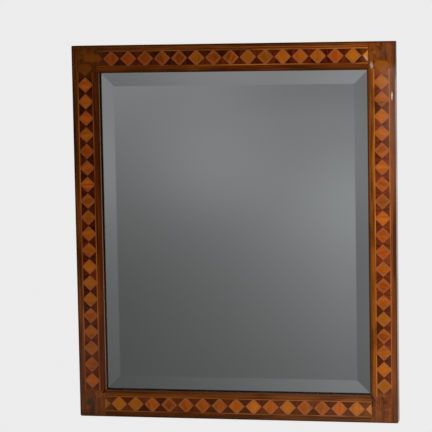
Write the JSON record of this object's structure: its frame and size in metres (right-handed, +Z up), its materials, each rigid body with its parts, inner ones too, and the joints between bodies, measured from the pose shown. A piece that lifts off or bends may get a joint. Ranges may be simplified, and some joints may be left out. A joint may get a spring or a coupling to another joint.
{
  "type": "wall mirror",
  "caption": "Upright wall mirror: bevelled glass in a flat veneered frame with a lozenge marquetry band, plain corner fields, boarded back and two hanging rings.",
  "frame": {"origin": "middle of the backboard's rear face, in the plane that lies on the wall", "axes": "+Z up, +Y out of the back towards the wall, so the glass faces -Y and +X is to the right of a person who looks into it"},
  "size_m": [0.6, 0.028, 0.695],
  "materials": {
    "carcass_pine": "bare, darkened with age",
    "lipping_dark_walnut": "french polished, worn at the arris",
    "lining_ebonised": "stained and polished",
    "band_walnut": "french polished",
    "string_boxwood": "french polished",
    "lozenge_satinwood": "french polished",
    "ground_rosewood": "french polished",
    "corner_figured_walnut": "french polished, stained in one corner",
    "plate_glass": "polished",
    "silvering": "silvered",
    "backing_paint": "matt red lead paint",
    "block_pine": "bare, sawn",
    "board_pine": "bare, darkened with age",
    "screw_steel": "dull, oxidised",
    "hanger_brass": "tarnished",
    "ring_brass": "tarnished, rubbed bright",
    "screw_brass": "tarnished"
  },
  "bodies": {
    "frame": {"stile_left": "carcass_pine", "lipping_left": "lipping_dark_walnut", "sight_lining_left": "lining_ebonised", "outer_band_left": "band_walnut", "inner_band_left": "band_walnut", "strings_left": "string_boxwood", "lozenges_left": "lozenge_satinwood", "ground_left": "ground_rosewood", "stile_right": "carcass_pine", "lipping_right": "lipping_dark_walnut", "sight_lining_right": "lining_ebonised", "outer_band_right": "band_walnut", "inner_band_right": "band_walnut", "strings_right": "string_boxwood", "lozenges_right": "lozenge_satinwood", "ground_right": "ground_rosewood", "rail_top": "carcass_pine", "lipping_top": "lipping_dark_walnut", "sight_lining_top": "lining_ebonised", "outer_band_top": "band_walnut", "inner_band_top": "band_walnut", "strings_top": "string_boxwood", "lozenges_top": "lozenge_satinwood", "ground_top": "ground_rosewood", "rail_bottom": "carcass_pine", "lipping_bottom": "lipping_dark_walnut", "sight_lining_bottom": "lining_ebonised", "outer_band_bottom": "band_walnut", "inner_band_bottom": "band_walnut", "strings_bottom": "string_boxwood", "lozenges_bottom": "lozenge_satinwood", "ground_bottom": "ground_rosewood", "corner_field_top_left": "corner_figured_walnut", "corner_field_bottom_left": "corner_figured_walnut", "hanger_strap_left": "hanger_brass", "corner_field_top_right": "corner_figured_walnut", "corner_field_bottom_right": "corner_figured_walnut", "hanger_strap_right": "hanger_brass", "mirror_glass": "plate_glass", "silver_film": "silvering", "backing_paint": "backing_paint", "glazing_blocks": "block_pine", "backboard_top": "board_pine", "backboard_middle": "board_pine", "backboard_bottom": "board_pine", "backboard_screws": "screw_steel", "hanger_screws": "screw_brass"},
    "ring_left": {"hanger_ring_left": "ring_brass"},
    "ring_right": {"hanger_ring_right": "ring_brass"}
  },
  "joints": [
    {"name": "ring_left_swing", "type": "hinge", "parent": "frame", "child": "ring_left", "pos_m": [-0.2849, -0.0032, 0.165], "axis": [1, 0, 0], "range_deg": [0, 180]},
    {"name": "ring_right_swing", "type": "hinge", "parent": "frame", "child": "ring_right", "pos_m": [0.2849, -0.0032, 0.165], "axis": [1, 0, 0], "range_deg": [0, 180]}
  ]
}
